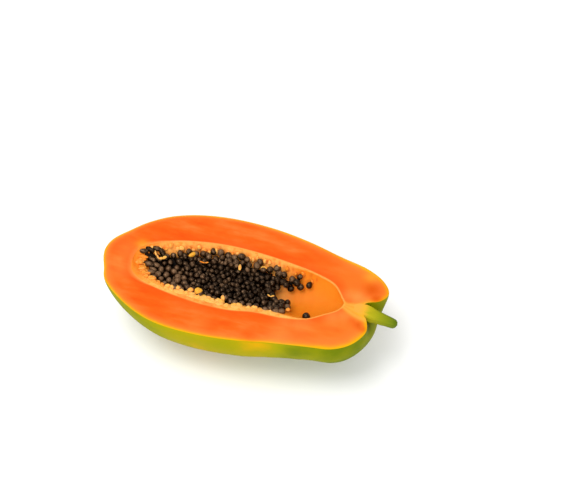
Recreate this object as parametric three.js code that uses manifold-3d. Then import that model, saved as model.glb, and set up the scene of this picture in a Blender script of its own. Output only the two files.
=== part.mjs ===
// Half of a ripe papaya, cut lengthwise, lying on its round back with the cut face up.
// Units are millimetres and +Z is up. +X runs along the fruit to its stem, +Y to the far
// side, and the origin is the middle of the small flat spot that the fruit rests on.

import * as THREE from "three";
import { mergeVertices } from "three/addons/utils/BufferGeometryUtils.js";
import Module from "manifold-3d";

const wasm = await Module();
wasm.setup();
const { clamp, lerp, mapLinear, smoothstep } = THREE.MathUtils;

// Driving dimensions
const CUT_HEIGHT = 62; // the cut face above the surface that the fruit rests on
const SPOT_X = -8; // the middle of the resting spot, from the middle of the fruit
const CLEARANCE = 0.35; // the gap between pieces that touch
const BEYOND = [300, 200, 100]; // a block larger than the fruit, to cut away with

// The skin, seen from above and from the side: distance along the fruit from its middle,
// then distance from the fruit's axis. Each outline runs from the blossom end over the
// shoulder into the pit round the stem.
const FAR_OUTLINE = [
  [-115.5, 0], [-114.5, 7], [-111, 14.5], [-103, 23.5], [-90, 36.5], [-72, 48],
  [-48, 55.5], [-20, 58.5], [12, 57], [42, 51.5], [70, 43.5], [93, 37.5],
  [108, 29], [115, 18.5], [110.5, 9.5], [100.5, 5], [97, 0],
];
const NEAR_OUTLINE = [
  [-115.5, 0], [-114, 7], [-110, 17], [-105.5, 28], [-92, 40], [-71, 52],
  [-49, 58.2], [-20, 59.5], [9, 57], [36, 52], [64, 48], [84, 45],
  [98, 36.5], [106, 23], [104, 12], [99.5, 6], [97, 0],
];
const UNDER_OUTLINE = [
  [-115.5, 0], [-114, 7], [-110, 15.5], [-103.5, 25.5], [-91, 38.5], [-71, 51.5],
  [-46, 60], [-18, 63.2], [10, 63], [38, 58], [66, 53.5], [90, 50],
  [104, 38.5], [110, 23], [107, 12], [100, 6], [97, 0],
];
const SKIN_STEPS_ALONG = 42;
const SKIN_STEPS_AROUND = 36;

// A papaya grows from five carpels, which show as low ridges on the shoulder
const RIDGES = 5;
const RIDGE_HEIGHT = 1.3;
const RIDGE_RISE = [0.5, 0.78]; // shares of the way along the skin
const RIDGE_FADE = [0.84, 0.97];

// The seed cavity: where it lies along the fruit, and its far half width, near half width
// and depth at equal turns from the blossom end to the stem end
const CAVITY_MIDDLE = -4;
const CAVITY_HALF_LENGTH = 87;
const CAVITY_SECTIONS = [
  [0, 0, 0], [10, 12.5, 3.5], [16.5, 19.5, 9], [22.5, 24, 17], [27, 27.5, 24],
  [29.7, 30, 27], [30, 30, 26], [28, 26.5, 22], [25, 26, 18.5], [21, 22.5, 15.5],
  [15.5, 14, 11], [5, 7.5, 5], [0, 0, 0],
];
const WALL_SHAPE_FAR = 0.85; // 0.5 is a round wall, and more slopes in from the rim
const WALL_SHAPE_NEAR = 2.5;
const WALL_SHAPE_STEM_END = 0.75;
const WALL_CHANGE = [0.6, 0.8]; // where the wall turns to its shape at the stem end
const CAVITY_STEPS_ALONG = 28;
const CAVITY_STEPS_AROUND = 24;

// The stem: a slightly bent stalk rooted in the pit, cut flush where the knife met it
const STEM_ROOT = [90, -1, -3]; // along, across and above the cut face
const STEM_BEND = [110, -2, -5];
const STEM_TIP = [126.5, -5.2, -7];
const STEM_RADII = [1.6, 4.4, 6.2, 6.4, 6.0, 5.3, 4.9, 4.6, 4.4, 3.9]; // root to tip
const STEM_RIB = 0.04; // height of its ribs, as a share of the radius
const STEM_STEPS_ALONG = 14;
const STEM_STEPS_AROUND = 15;

// The seeds: one layer of round grains over a bed that fills the cavity
const SEED_RADIUS = 2.8;
const SEED_STRETCH = 1.15;
const SEED_PITCH = 6.1;
const SEED_JITTER = 0.6;
const SEED_LIFT = 0.9; // seeds stand up to this much higher or lower than the next
const BED_DEPTH_RIM = 4.2; // how deep the seeds' middles lie, beside the rim
const BED_DEPTH_MIDDLE = 8.5;
const BED_BELOW_SEEDS = 0.8;
const WALL_INSET = 0.6; // the seeds keep this far from the cavity's wall
const STRAY_SEED = [57, -16]; // one seed lies apart, on the near wall

// Where the seeds end, seen from above: along the cavity's wall from the stem end's near
// side round to its far side, then back along the bare floor
const SEED_EDGE_WALL = [
  [37, -19.5], [29, -21], [8, -22], [-7, -23], [-25, -20.5], [-40, -21], [-56, -18],
  [-64, -14], [-73, -11.5], [-78, -6], [-82, -1], [-88, 4], [-89, 10], [-83, 13.5],
  [-72, 16.5], [-58, 20], [-40, 24.5], [-15, 27.5], [0, 27], [16, 25], [29, 22.5],
  [42, 20], [53, 18],
];
const SEED_EDGE_FLOOR = [
  [56, 15], [50, 12], [40, 10], [30, 8], [26, 4], [27, 0], [33, -2], [40, -3.5],
  [43, -7], [41, -12],
];
const HEAP_START = [15, 22]; // along the fruit, where the seeds begin to fall away
const HEAP_SLOPE = 1.3; // how steeply they fall to the bare floor
const HEAP_REACH = 3.2; // and how far past their edge they reach there
const BED_STEPS_LEVEL = 7; // steps along the level part of the bed
const BED_STEPS_HEAP = 11; // and along the part that falls away
const BED_STEPS_ACROSS = 11;

// Torn ends of the cords that held the seeds, on the wall between the seeds and the rim
const NUB_COUNT = 64;
const NUB_RADIUS = [1.4, 2.4];
const NUB_STRETCH = 1.25;
const NUB_RIM_MARGIN = 1.2;
const NUB_MIN_DEPTH = 0.6;
const NUB_FREE_FLOOR = { from: 24, near: -19, far: 19 }; // none on the bare floor

let state = 20407;
function random() {
  // A small seeded generator, so that each build is the same
  state = (state + 0x6d2b79f5) | 0;
  let t = Math.imul(state ^ (state >>> 15), 1 | state);
  t = (t + Math.imul(t ^ (t >>> 7), 61 | t)) ^ t;
  return ((t ^ (t >>> 14)) >>> 0) / 4294967296;
}

function randomBetween(low, high) {
  return lerp(low, high, random());
}

function randomTurn() {
  return [0, 1, 2].map(() => randomBetween(0, Math.PI));
}

function solidOf(geometry) {
  // A closed mesh as a solid that can be joined and cut
  const bare = geometry.clone();
  bare.deleteAttribute("normal");
  bare.deleteAttribute("uv");
  const merged = mergeVertices(bare, 1e-4);
  return new wasm.Manifold(
    new wasm.Mesh({
      numProp: 3,
      vertProperties: merged.attributes.position.array,
      triVerts: new Uint32Array(merged.index.array),
    }),
  );
}

function meshOf(name, solid, finish) {
  const { vertProperties, triVerts } = solid.getMesh();
  const geometry = new THREE.BufferGeometry();
  geometry.setAttribute("position", new THREE.BufferAttribute(vertProperties, 3));
  geometry.setIndex(new THREE.BufferAttribute(triVerts, 1));
  geometry.computeVertexNormals();
  const mesh = new THREE.Mesh(geometry, new THREE.MeshStandardMaterial(finish));
  mesh.name = name;
  return mesh;
}

function aboveCut() {
  const lift = CUT_HEIGHT + BEYOND[2] / 2;
  return solidOf(new THREE.BoxGeometry(...BEYOND).translate(0, 0, lift));
}

function belowRest() {
  return solidOf(new THREE.BoxGeometry(...BEYOND).translate(0, 0, -BEYOND[2] / 2));
}

function bentSphere(stepsAlong, stepsAround, place) {
  // A sphere pulled into shape. place gives the point at a share of the way from pole to
  // pole and at an angle round: 0 is the far side, a quarter turn is under the fruit.
  const geometry = new THREE.SphereGeometry(1, stepsAround, stepsAlong);
  const { position, uv } = geometry.attributes;
  for (let i = 0; i < position.count; i += 1) {
    const [x, y, z] = place(1 - uv.getY(i), uv.getX(i) * 2 * Math.PI);
    position.setXYZ(i, x, y, z);
  }
  return solidOf(geometry);
}

function splineOf(points) {
  return new THREE.SplineCurve(points.map(([x, y]) => new THREE.Vector2(x, y)));
}

// The fruit's outer surface
const farOutline = splineOf(FAR_OUTLINE);
const nearOutline = splineOf(NEAR_OUTLINE);
const underOutline = splineOf(UNDER_OUTLINE);

function skinPoint(along, angle) {
  // The three outlines are blended by how far round the point is
  const [across, down] = [Math.cos(angle), Math.sin(angle)];
  const side = (across > 0 ? farOutline : nearOutline).getPoint(along);
  const under = underOutline.getPoint(along);
  const at = side.multiplyScalar(across * across).addScaledVector(under, down * down);
  const ridged = smoothstep(along, ...RIDGE_RISE) * (1 - smoothstep(along, ...RIDGE_FADE));
  const ridge = Math.cos(RIDGES * (angle - Math.PI / 2)) * down * down;
  const radius = Math.max(0, at.y + RIDGE_HEIGHT * ridge * ridged);
  return [at.x, radius * across, CUT_HEIGHT - radius * down];
}

// The cavity's half widths and depth, from one end to the other
const cavitySections = new THREE.CatmullRomCurve3(
  CAVITY_SECTIONS.map((section) => new THREE.Vector3(...section)),
  false,
  "catmullrom",
);

function cavityShare(x) {
  return Math.acos(clamp((CAVITY_MIDDLE - x) / CAVITY_HALF_LENGTH, -1, 1)) / Math.PI;
}

function wallShape(along, across) {
  const sideways = mapLinear(across, -1, 1, WALL_SHAPE_NEAR, WALL_SHAPE_FAR);
  return lerp(sideways, WALL_SHAPE_STEM_END, smoothstep(along, ...WALL_CHANGE));
}

function cavityPoint(along, angle, inset = 0) {
  const [across, down] = [Math.cos(angle), Math.sin(angle)];
  const section = cavitySections.getPoint(along);
  const width = Math.max(0, (across > 0 ? section.x : section.y) - inset);
  const depth = Math.max(0, section.z - 2 * inset);
  const x = CAVITY_MIDDLE - (CAVITY_HALF_LENGTH - inset) * Math.cos(along * Math.PI);
  const fall = depth * (down * down) ** wallShape(along, across);
  return [x, width * across, CUT_HEIGHT - Math.sign(down) * fall];
}

function cavitySolid(inset) {
  const place = (along, angle) => cavityPoint(along, angle, inset);
  return bentSphere(CAVITY_STEPS_ALONG, CAVITY_STEPS_AROUND, place);
}

function wallDepth(x, y) {
  // How far the cavity's wall lies under the cut face at a point seen from above
  const along = cavityShare(x);
  const section = cavitySections.getPoint(along);
  const width = Math.max(y > 0 ? section.x : section.y, 0.01);
  const across = clamp(y / width, -1, 1);
  return section.z * (1 - across * across) ** wallShape(along, across);
}

function rimDistance(x, y) {
  // How far a point seen from above lies inside the cavity's rim
  const section = cavitySections.getPoint(cavityShare(x));
  const sideways = (y > 0 ? section.x : section.y) - Math.abs(y);
  const endways = CAVITY_HALF_LENGTH - Math.abs(x - CAVITY_MIDDLE);
  return Math.min(sideways, endways);
}

// The stem's path and thickness
const stemPath = new THREE.QuadraticBezierCurve3(
  ...[STEM_ROOT, STEM_BEND, STEM_TIP].map(([x, y, z]) => new THREE.Vector3(x, y, CUT_HEIGHT + z)),
);
const stemRadii = splineOf(STEM_RADII.map((radius, i) => [i, radius]));

function stemSolid(growth = 0) {
  const rod = new THREE.CylinderGeometry(1, 1, 1, STEM_STEPS_AROUND, STEM_STEPS_ALONG);
  const { position } = rod.attributes;
  const sideways = new THREE.Vector3();
  const upwards = new THREE.Vector3();
  for (let i = 0; i < position.count; i += 1) {
    const along = 0.5 - position.getY(i);
    const centre = stemPath.getPoint(along);
    const ahead = stemPath.getTangent(along);
    sideways.set(0, 0, 1).cross(ahead).normalize();
    upwards.crossVectors(ahead, sideways);
    const [a, b] = [position.getX(i), position.getZ(i)];
    const ribbed = 1 + STEM_RIB * Math.cos(RIDGES * Math.atan2(b, a));
    const radius = stemRadii.getPoint(along).y * ribbed + growth;
    centre.addScaledVector(sideways, a * radius).addScaledVector(upwards, b * radius);
    if (along === 0) centre.addScaledVector(ahead, -growth);
    if (along === 1) centre.addScaledVector(ahead, growth);
    position.setXYZ(i, centre.x, centre.y, centre.z);
  }
  return solidOf(rod);
}

// Where the seeds end, as a closed line, and the part of it along the bare floor
const seedEdge = splineOf([...SEED_EDGE_WALL, ...SEED_EDGE_FLOOR, SEED_EDGE_WALL[0]]);
const floorEdge = splineOf([SEED_EDGE_WALL.at(-1), ...SEED_EDGE_FLOOR, SEED_EDGE_WALL[0]]);
const seedEdgePoints = seedEdge.getPoints(200);
const floorEdgePoints = floorEdge.getPoints(60);

function amongSeeds(x, y) {
  // Whether a point seen from above is inside the seeds' edge, by counting crossings
  let inside = false;
  seedEdgePoints.forEach((a, i) => {
    const b = seedEdgePoints[(i + 1) % seedEdgePoints.length];
    const between = a.y > y !== b.y > y;
    if (between && x < mapLinear(y, a.y, b.y, a.x, b.x)) inside = !inside;
  });
  return inside;
}

function fromFloorEdge(x, y) {
  // Distance from the edge along the bare floor, less than zero past it
  const distances = floorEdgePoints.map((at) => Math.hypot(x - at.x, y - at.y));
  return Math.min(...distances) * (amongSeeds(x, y) ? 1 : -1);
}

function bedDepth(x, y) {
  // The seeds' middles lie deeper towards the cavity's middle, and fall to the bare floor
  const inside = smoothstep(rimDistance(x, y), 4, 22);
  const level = lerp(BED_DEPTH_RIM, BED_DEPTH_MIDDLE, inside);
  const onHeap = clamp(mapLinear(x, ...HEAP_START, 0, 1), 0, 1);
  const fall = HEAP_SLOPE * Math.max(0, HEAP_REACH - fromFloorEdge(x, y));
  return level + (onHeap > 0 ? fall * onHeap : 0);
}

function seedSpots() {
  // Rows of a hexagonal grid, each seed moved a little, kept where the seeds reach
  const spots = [];
  const rowStep = SEED_PITCH * Math.sqrt(0.75);
  for (let row = -6; row <= 6; row += 1) {
    for (let column = -17; column <= 11; column += 1) {
      const x = (column + (row % 2) / 2) * SEED_PITCH + randomBetween(-1, 1) * SEED_JITTER;
      const y = row * rowStep + randomBetween(-1, 1) * SEED_JITTER;
      const lift = randomBetween(-1, 1) * SEED_LIFT;
      const turn = randomTurn();
      const depth = Math.min(bedDepth(x, y), wallDepth(x, y) - SEED_RADIUS * 0.4);
      const onHeap = x > HEAP_START[1] && fromFloorEdge(x, y) > -HEAP_REACH;
      if (amongSeeds(x, y) || onHeap) spots.push({ x, y, z: CUT_HEIGHT - depth + lift, turn });
    }
  }
  return spots;
}

function nubSpots() {
  // Spots drawn at random over the cavity, kept on the wall between the seeds and the rim
  const spots = [];
  const floor = NUB_FREE_FLOOR;
  while (spots.length < NUB_COUNT) {
    const [x, y] = [randomBetween(-90, 54), randomBetween(-30, 30)];
    const radius = randomBetween(...NUB_RADIUS);
    const turn = randomTurn();
    const depth = wallDepth(x, y) - 0.1 * radius;
    const onWall = rimDistance(x, y) > NUB_RIM_MARGIN && depth > NUB_MIN_DEPTH;
    const onFloor = x > floor.from && y > floor.near && y < floor.far;
    const shows = !amongSeeds(x, y) && !onFloor && depth + radius < bedDepth(x, y) + 2;
    if (onWall && shows) spots.push({ x, y, z: CUT_HEIGHT - depth, radius, turn });
  }
  return spots;
}

function grain(radius, stretch, spot, growth = 0) {
  // A small ball, pulled long and turned
  const ball = new THREE.IcosahedronGeometry(1, 0);
  ball.scale(radius + growth, radius + growth, radius * stretch + growth);
  ball.rotateX(spot.turn[0]).rotateY(spot.turn[1]).rotateZ(spot.turn[2]);
  return solidOf(ball.translate(spot.x, spot.y, spot.z));
}

const nubs = nubSpots();

function nubSolid(growth = 0) {
  const balls = nubs.map((spot) => grain(spot.radius, NUB_STRETCH, spot, growth));
  return wasm.Manifold.union(balls);
}

function fruitHalf() {
  // Flesh and skin grew as one piece: cut across, flattened where it rests, hollowed for
  // the seeds and opened for the stem's root
  return bentSphere(SKIN_STEPS_ALONG, SKIN_STEPS_AROUND, skinPoint)
    .subtract(cavitySolid(0))
    .add(nubSolid())
    .subtract(stemSolid(CLEARANCE))
    .subtract(aboveCut())
    .subtract(belowRest());
}

function stem() {
  return stemSolid().subtract(aboveCut());
}

function seedBed() {
  // The packed seeds under the top layer: a block with a hollowed top, its steps finer
  // where the top falls to the bare floor
  const steps = BED_STEPS_LEVEL + BED_STEPS_HEAP;
  const [start, end] = [CAVITY_MIDDLE - CAVITY_HALF_LENGTH, 70];
  const block = new THREE.BoxGeometry(steps, 64, 1, steps, BED_STEPS_ACROSS, 1);
  const { position } = block.attributes;
  for (let i = 0; i < position.count; i += 1) {
    const step = position.getX(i) + steps / 2 - BED_STEPS_LEVEL;
    const reach = step < 0 ? start - HEAP_START[0] : end - HEAP_START[0];
    const count = step < 0 ? -BED_STEPS_LEVEL : BED_STEPS_HEAP;
    const x = HEAP_START[0] + (step / count) * reach;
    const y = position.getY(i);
    const depth = position.getZ(i) > 0 ? bedDepth(x, y) + BED_BELOW_SEEDS : CUT_HEIGHT;
    position.setXYZ(i, x, y, CUT_HEIGHT - depth);
  }
  return solidOf(block);
}

function seedMass() {
  const seeds = seedSpots().map((spot) => grain(SEED_RADIUS, SEED_STRETCH, spot));
  const filled = wasm.Manifold.union([seedBed(), ...seeds]);
  const clear = filled.intersect(cavitySolid(WALL_INSET)).subtract(nubSolid(CLEARANCE));
  return clear.decompose().sort((a, b) => b.volume() - a.volume())[0];
}

function straySeed() {
  // Its middle stands off the sloping wall by its own radius
  const [x, y] = STRAY_SEED;
  const slope = wallDepth(x, y + 0.5) - wallDepth(x, y - 0.5);
  const lift = (SEED_RADIUS + CLEARANCE) * Math.hypot(1, slope);
  const turn = [0, Math.PI / 2, 0];
  return grain(SEED_RADIUS, SEED_STRETCH, { x, y, z: CUT_HEIGHT - wallDepth(x, y) + lift, turn });
}

const FLESH = { name: "papaya_flesh", color: "#ff7a2c", roughness: 0.45, metalness: 0 };
const SEEDS = { name: "papaya_seeds", color: "#2a231c", roughness: 0.35, metalness: 0 };
const STRAY = { name: "papaya_stray_seed", color: "#2a231c", roughness: 0.35, metalness: 0 };
const STALK = { name: "papaya_stem", color: "#8f9a1e", roughness: 0.6, metalness: 0 };

const papaya = new THREE.Group();
papaya.name = "papaya_half";
papaya.position.x = -SPOT_X;
papaya.add(
  meshOf("fruit_half", fruitHalf(), FLESH),
  meshOf("seed_mass", seedMass(), SEEDS),
  meshOf("stray_seed", straySeed(), STRAY),
  meshOf("stem", stem(), STALK),
);

export default papaya;
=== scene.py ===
"""Half of a ripe papaya, cut lengthwise, on a plain pale floor."""

import math
import random
from functools import partial

import bmesh
import bpy
from bpy.props import FloatProperty, FloatVectorProperty, IntProperty, PointerProperty
from mathutils import Euler, Matrix, Vector, noise
from mathutils.kdtree import KDTree


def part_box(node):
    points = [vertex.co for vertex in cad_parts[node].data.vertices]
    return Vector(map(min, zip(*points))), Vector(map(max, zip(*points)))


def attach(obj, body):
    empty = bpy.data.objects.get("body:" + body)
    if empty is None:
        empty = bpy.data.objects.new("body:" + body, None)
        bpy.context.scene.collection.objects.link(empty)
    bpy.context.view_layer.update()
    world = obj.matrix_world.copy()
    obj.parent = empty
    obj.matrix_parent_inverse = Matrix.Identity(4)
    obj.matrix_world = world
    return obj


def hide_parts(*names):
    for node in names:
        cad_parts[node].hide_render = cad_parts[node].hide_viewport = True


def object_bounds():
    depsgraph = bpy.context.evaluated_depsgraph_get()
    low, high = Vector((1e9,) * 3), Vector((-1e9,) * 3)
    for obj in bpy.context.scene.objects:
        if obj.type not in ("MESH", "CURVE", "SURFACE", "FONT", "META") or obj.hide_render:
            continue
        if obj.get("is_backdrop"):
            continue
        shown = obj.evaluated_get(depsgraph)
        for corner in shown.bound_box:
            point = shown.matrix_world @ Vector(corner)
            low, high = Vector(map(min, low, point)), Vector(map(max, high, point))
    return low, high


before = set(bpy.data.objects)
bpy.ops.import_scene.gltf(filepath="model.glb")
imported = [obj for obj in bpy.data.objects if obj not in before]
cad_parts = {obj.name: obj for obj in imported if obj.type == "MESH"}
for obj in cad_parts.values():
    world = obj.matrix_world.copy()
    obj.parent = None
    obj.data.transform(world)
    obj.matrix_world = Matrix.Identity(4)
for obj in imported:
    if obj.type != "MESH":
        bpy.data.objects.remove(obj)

bl_info = {
    "name": "Halved Papaya",
    "version": (1, 0, 0),
    "blender": (4, 5, 0),
    "location": "View3D > Sidebar > Papaya",
    "description": "Builds half of a ripe papaya with its seeds, pulp and stem",
    "category": "Add Mesh",
}

CAD_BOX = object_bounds()
MM = 0.001
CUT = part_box("fruit_half")[1].z / MM  # height of the cut face, in millimetres
SPOT_X = -8.0  # the middle of the resting spot, from the middle of the fruit

# The skin, seen from above and from the side: distance along the fruit from its middle,
# then distance from the fruit's axis, in millimetres. Each outline runs from the blossom
# end over the shoulder into the pit round the stem.
FAR_OUTLINE = (
    (-115.5, 0), (-114.5, 7), (-111, 14.5), (-103, 23.5), (-90, 36.5), (-72, 48),
    (-48, 55.5), (-20, 58.5), (12, 57), (42, 51.5), (70, 43.5), (93, 37.5),
    (108, 29), (115, 18.5), (110.5, 9.5), (100.5, 5), (97, 0),
)
NEAR_OUTLINE = (
    (-115.5, 0), (-114, 7), (-110, 17), (-105.5, 28), (-92, 40), (-71, 52),
    (-49, 58.2), (-20, 59.5), (9, 57), (36, 52), (64, 48), (84, 45),
    (98, 36.5), (106, 23), (104, 12), (99.5, 6), (97, 0),
)
UNDER_OUTLINE = (
    (-115.5, 0), (-114, 7), (-110, 15.5), (-103.5, 25.5), (-91, 38.5), (-71, 51.5),
    (-46, 60), (-18, 63.2), (10, 63), (38, 58), (66, 53.5), (90, 50),
    (104, 38.5), (110, 23), (107, 12), (100, 6), (97, 0),
)
RIDGES = 5  # a papaya grows from five carpels
RIDGE_RISE = (0.5, 0.78)  # shares of the way along the skin
RIDGE_FADE = (0.84, 0.97)

# The seed cavity: its far half width, near half width and depth at equal turns from the
# blossom end to the stem end, in millimetres
CAVITY_MIDDLE = -4.0
CAVITY_HALF_LENGTH = 87.0
CAVITY_SECTIONS = (
    (0, 0, 0), (10, 12.5, 3.5), (16.5, 19.5, 9), (22.5, 24, 17), (27, 27.5, 24),
    (29.7, 30, 27), (30, 30, 26), (28, 26.5, 22), (25, 26, 18.5), (21, 22.5, 15.5),
    (15.5, 14, 11), (5, 7.5, 5), (0, 0, 0),
)
WALL_SHAPE_FAR = 0.85  # 0.5 is a round wall, and more slopes in from the rim
WALL_SHAPE_NEAR = 2.5
WALL_SHAPE_STEM_END = 0.75
WALL_CHANGE = (0.6, 0.8)

# Where the seeds end, seen from above, in millimetres: along the cavity's wall, then back
# along the bare floor
SEED_EDGE_WALL = (
    (37, -19.5), (29, -21), (8, -22), (-7, -23), (-25, -20.5), (-40, -21), (-56, -19),
    (-64, -16), (-72, -14.5), (-78, -7.5), (-82, -1), (-88, 4), (-89, 10), (-83, 13.5),
    (-72, 16.5), (-58, 19.5), (-40, 23.5), (-15, 26), (0, 25), (16, 23), (29, 21),
    (42, 19.5), (53, 18),
)
SEED_EDGE_FLOOR = (
    (56, 15), (50, 12), (40, 10), (30, 8), (26, 4), (27, 0), (33, -2), (40, -3.5),
    (43, -7), (41, -12),
)
LATTICE_HALF_LENGTH, LATTICE_HALF_WIDTH = 100, 40  # before the rows are cut to shape
LATTICE_REACH = (-59.0, 23.0)  # beyond these each seed has its own place
PLACED_SEEDS = (
    (-85.7, 8.7), (-81.0, 11.8), (-76.2, 14.2), (-71.3, 12.9), (-67.4, 10.2), (-77.6, 5.2),
    (-78.5, 0.3), (-72.6, 1.6), (-67.6, -1.2), (-73.9, -3.1), (-74.6, -7.3), (-68.6, -7.0),
    (-70.0, -13.4), (-64.4, -11.6), (-61.9, -5.4), (-62.4, 1.0), (-62.6, 6.8), (-67.0, 4.8),
    (-59.8, -16.0), (-62.0, 13.0), (-72.6, 7.2), (-58.0, -10.8), (-56.2, 3.6), (-57.0, 16.0),
    (22.4, 22.7), (29.7, 17.7), (30.3, 12.1), (25.2, 17.6), (37.0, 15.2), (37.3, 9.8),
    (44.5, 12.0), (51.1, 14.2), (42.3, 18.6), (25.6, 12.8), (26.6, 8.1), (33.2, 11.0),
    (40.9, 13.4), (30.0, -7.6), (34.2, -6.6), (38.2, -4.4), (39.6, -9.6), (34.8, -11.4),
    (32.0, -15.4), (28.1, -18.4), (26.4, -12.6), (37.6, -18.6), (24.8, -1.6),
    (27.4, -5.2), (29.4, -12.4), (24.6, -20.9), (33.0, -20.2), (21.8, 9.2), (12.1, 18.1),
)
PLACED_SIZE = 0.96  # beside the outer seeds of the rows
HEAP_START = (15.0, 22.0)  # along the fruit, where the seeds begin to fall away
HEAP_SLOPE = 1.3
HEAP_REACH = 3.2  # from the edge along the bare floor
RIM_TO_MIDDLE = (4, 22)  # from the rim, where the seeds sink from one depth to the other
SEED_LIT_SIDE = Vector((0.1, -0.35, 0.93))  # the lit side of each seed, where its highlight is painted
# Strength of the painted highlight on each seed's lit top
TOP_HIGHLIGHT = 0.3
SEED_TOP_GAP = 0.4  # how far every seed stays under the cut face
SEED_JITTER = 0.6  # how far the seeds of the rows stray, and rise or sink
SEED_LIFT = 1.2
SEED_OVERHANG = 0.3  # how far a seed's middle may lie outside the seeds' edge
SEED_WALL_GAP = 0.5  # in radii, the least between a seed's middle and the wall
SEED_GAP = 1.3  # in radii, the least between a seed of the rows and one already there
LAYER_INSET = 2.5  # how far the lower layer stays in from the edge, and lies deeper
LAYER_DROP = 3.6
INNER_MARGIN = 6.5  # from the seeds' edge to the smaller seeds, which begin in a point
INNER_START = -52
INNER_SLOPE = 1.2
POINTED_SEEDS = (66, 76)  # towards the blossom end, where the seeds turn long
BED_MARGIN = 3.4
BED_DROP = 4.6  # under the middles of the upper seeds
BED_WALL_GAP = 0.5
BED_THICKNESS = 1.0
BED_MIDDLE = -18  # the sheet that the bed is cut from: place along, half size and steps
BED_HALF_LENGTH, BED_HALF_WIDTH = 75, 32
BED_STEPS = (100, 44)
STRAY_SHIFT = (-1.3, -1.2)  # across and up, from the middle of its box
STRAY_SIZE = 1.1
STRAY_SHADE = 0.1

# The stem's path, in millimetres along, across and above the cut face, and its radii at
# equal steps along it
STEM_ROOT = (90, -1, -3)
STEM_BEND = (110, -2, -5)
STEM_TIP = (127.3, -4.6, -7)
STEM_RADII = (3.6, 5.8, 6.5, 6.2, 5.5, 5.0, 4.6, 4.2, 3.8, 3.1)
STEM_SHOWN = (96, 128)  # where it leaves the flesh, and where it ends
STEM_ENDS = (0.08, 0.09)  # the shares of its length in which its ends round off
STEM_PROUD = 0.12  # how far its cut stands over the cut face, so that it shows
UPWARDS = Vector((0, 0, 1))

# Steps round and from pole to pole
FRUIT_STEPS = (160, 128)
STEM_STEPS = (48, 48)
SEED_STEPS = (12, 8)
STRAY_STEPS = (16, 12)
LUMP_STEPS = (14, 10)
FACE_CUTS = 13  # of the cut face, between the skin and the cavity

# The camera, in millimetres from the middle of the fruit: what it looks at, and how
VIEW_CENTRE = (18.6, 66.9, 30.0)
VIEW_TURN = math.radians(15.5)
VIEW_RISE = math.radians(52.0)
VIEW_DISTANCE = 1249.3
LENS = 93.9
SENSOR = 36.0

# The studio, in metres and watts: each softbox has a name, place, width and power
SOFTBOXES = (
    ("overhead_softbox", (-0.3, -0.25, 1.25), 0.7, 9.5),
    ("front_softbox", (0.35, -1.2, 0.7), 0.9, 8.5),
)
LIT_POINT = Vector((0, 0, 0.03))
AIR_STRENGTH = 0.75
FLOOR_HALF_WIDTH = 3.0


def srgb(code):
    """A linear colour from an sRGB hex value."""
    parts = [int(code[i : i + 2], 16) / 255 for i in (1, 3, 5)]
    linear = [p / 12.92 if p <= 0.04045 else ((p + 0.055) / 1.055) ** 2.4 for p in parts]
    return (*linear, 1.0)


def smoothstep(x, low, high):
    t = min(1.0, max(0.0, (x - low) / (high - low)))
    return t * t * (3 - 2 * t)


def mix(a, b, t):
    return a + (b - a) * t


def on_spline(points, share, full_ends=False):
    """A point on the smooth curve through these points, at a share of the way along. Full
    ends leave at the slope of the first and last stretch."""
    at = min(max(share, 0.0), 1.0) * (len(points) - 1)
    i = min(int(at), len(points) - 2)
    t = at - i
    last = len(points) - 1
    p0, p1, p2, p3 = (Vector(points[min(max(i + k, 0), last)]) for k in (-1, 0, 1, 2))
    if full_ends and i == 0:
        p0 = 2 * p1 - p2
    if full_ends and i == last - 1:
        p3 = 2 * p2 - p1
    v0, v1 = (p2 - p0) / 2, (p3 - p1) / 2
    bend = -3 * p1 + 3 * p2 - 2 * v0 - v1
    return (2 * p1 - 2 * p2 + v0 + v1) * t**3 + bend * t**2 + v0 * t + p1


def placed(x, y, z):
    """A point in the frame, in metres, from millimetres round the middle of the fruit."""
    return Vector((x - SPOT_X, y, z)) * MM


def length_setting(name, size, description):
    """A length that a user can change, in millimetres here."""
    return FloatProperty(name=name, description=description, default=size * MM, unit="LENGTH")


def colour_setting(name, code, description):
    """A colour that a user can change."""
    return FloatVectorProperty(
        name=name, description=description, default=srgb(code), size=4, subtype="COLOR"
    )


def scatter_setting(number):
    return IntProperty(name="Random Seed", description="Picks another scatter", default=number)


class FruitSizes(bpy.types.PropertyGroup):
    ridge_height: length_setting("Ridge Height", 1.3, "Height of the five ridges")
    skin_unevenness: length_setting("Skin Unevenness", 0.5, "Height of the skin's swellings")
    wall_unevenness: length_setting("Wall Unevenness", 0.9, "Height of the cavity's folds")


class SeedSizes(bpy.types.PropertyGroup):
    radius: length_setting("Seed Radius", 2.95, "Half width of a seed in its jelly")
    pitch: length_setting("Seed Pitch", 5.6, "Distance between neighbouring seeds")
    inner_size: FloatProperty(
        name="Inner Seed Size", description="Size of the inner seeds beside the outer ones",
        default=0.86, min=0.5, max=1.0, subtype="FACTOR",
    )
    rim_depth: length_setting("Depth at the Rim", 4.2, "Depth of the seeds beside the rim")
    middle_depth: length_setting("Depth in the Middle", 8.5, "Depth of the seeds in the middle")
    seed: scatter_setting(7)


class PulpSizes(bpy.types.PropertyGroup):
    near_pitch: length_setting("Near Tooth Pitch", 4.1, "Distance between the near teeth")
    far_pitch: length_setting("Far Tooth Pitch", 4.3, "Distance between the far teeth")
    radius: length_setting("Tooth Radius", 2.2, "Half width of a tooth of pulp")
    seed: scatter_setting(3)


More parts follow.
